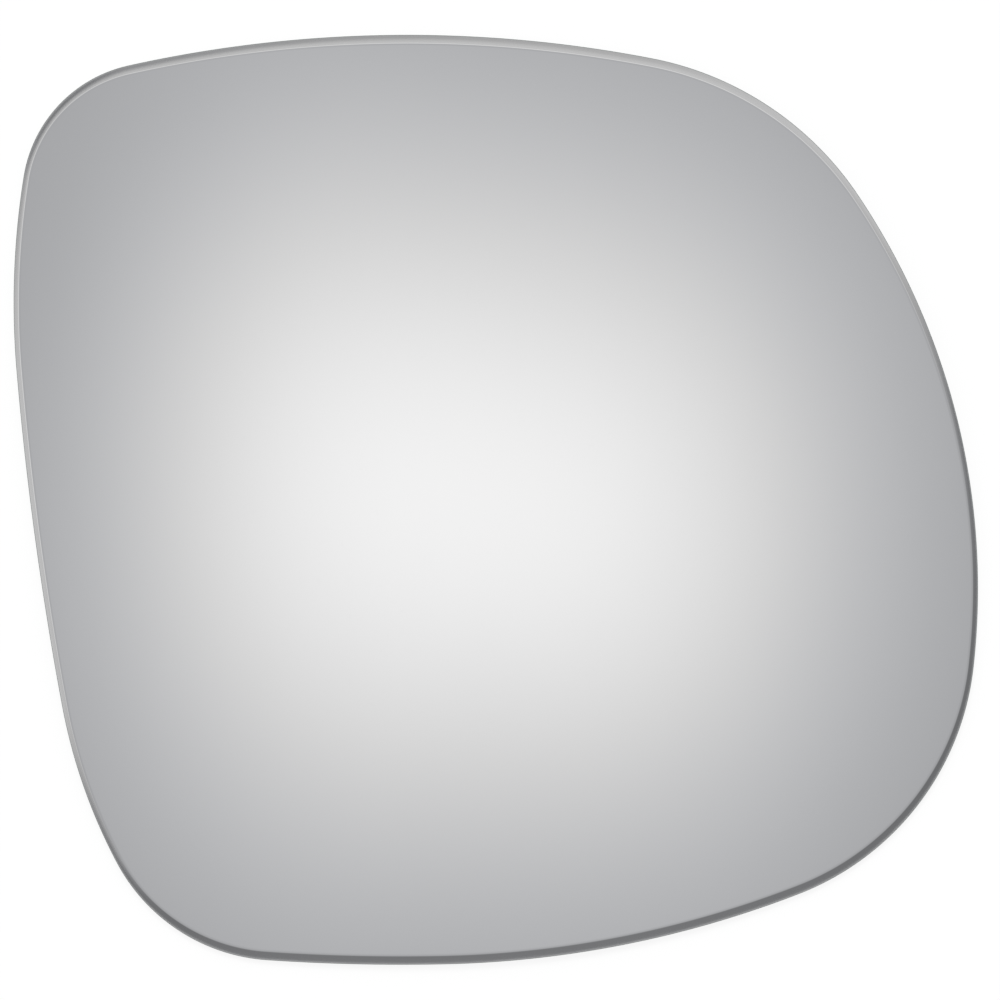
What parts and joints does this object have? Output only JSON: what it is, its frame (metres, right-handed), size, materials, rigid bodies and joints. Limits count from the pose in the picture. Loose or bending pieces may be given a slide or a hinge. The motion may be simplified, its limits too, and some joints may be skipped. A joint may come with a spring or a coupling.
{
  "type": "car door mirror glass",
  "caption": "Convex glass of a car door mirror: a bent, silvered sheet in an uneven rounded outline, with a ground edge all round.",
  "frame": {"origin": "middle of the outline's box in plan, on the plane the glass rests on", "axes": "+Z out of the mirror face, +X to the right as one looks at the face, +Y up as fitted on the car"},
  "size_m": [0.168, 0.162, 0.0055],
  "materials": {
    "mirror_glass": "silvered convex glass with a satin ground edge and dark protective paint on the back"
  },
  "bodies": {
    "root": {"mirror_glass": "mirror_glass"}
  },
  "joints": []
}
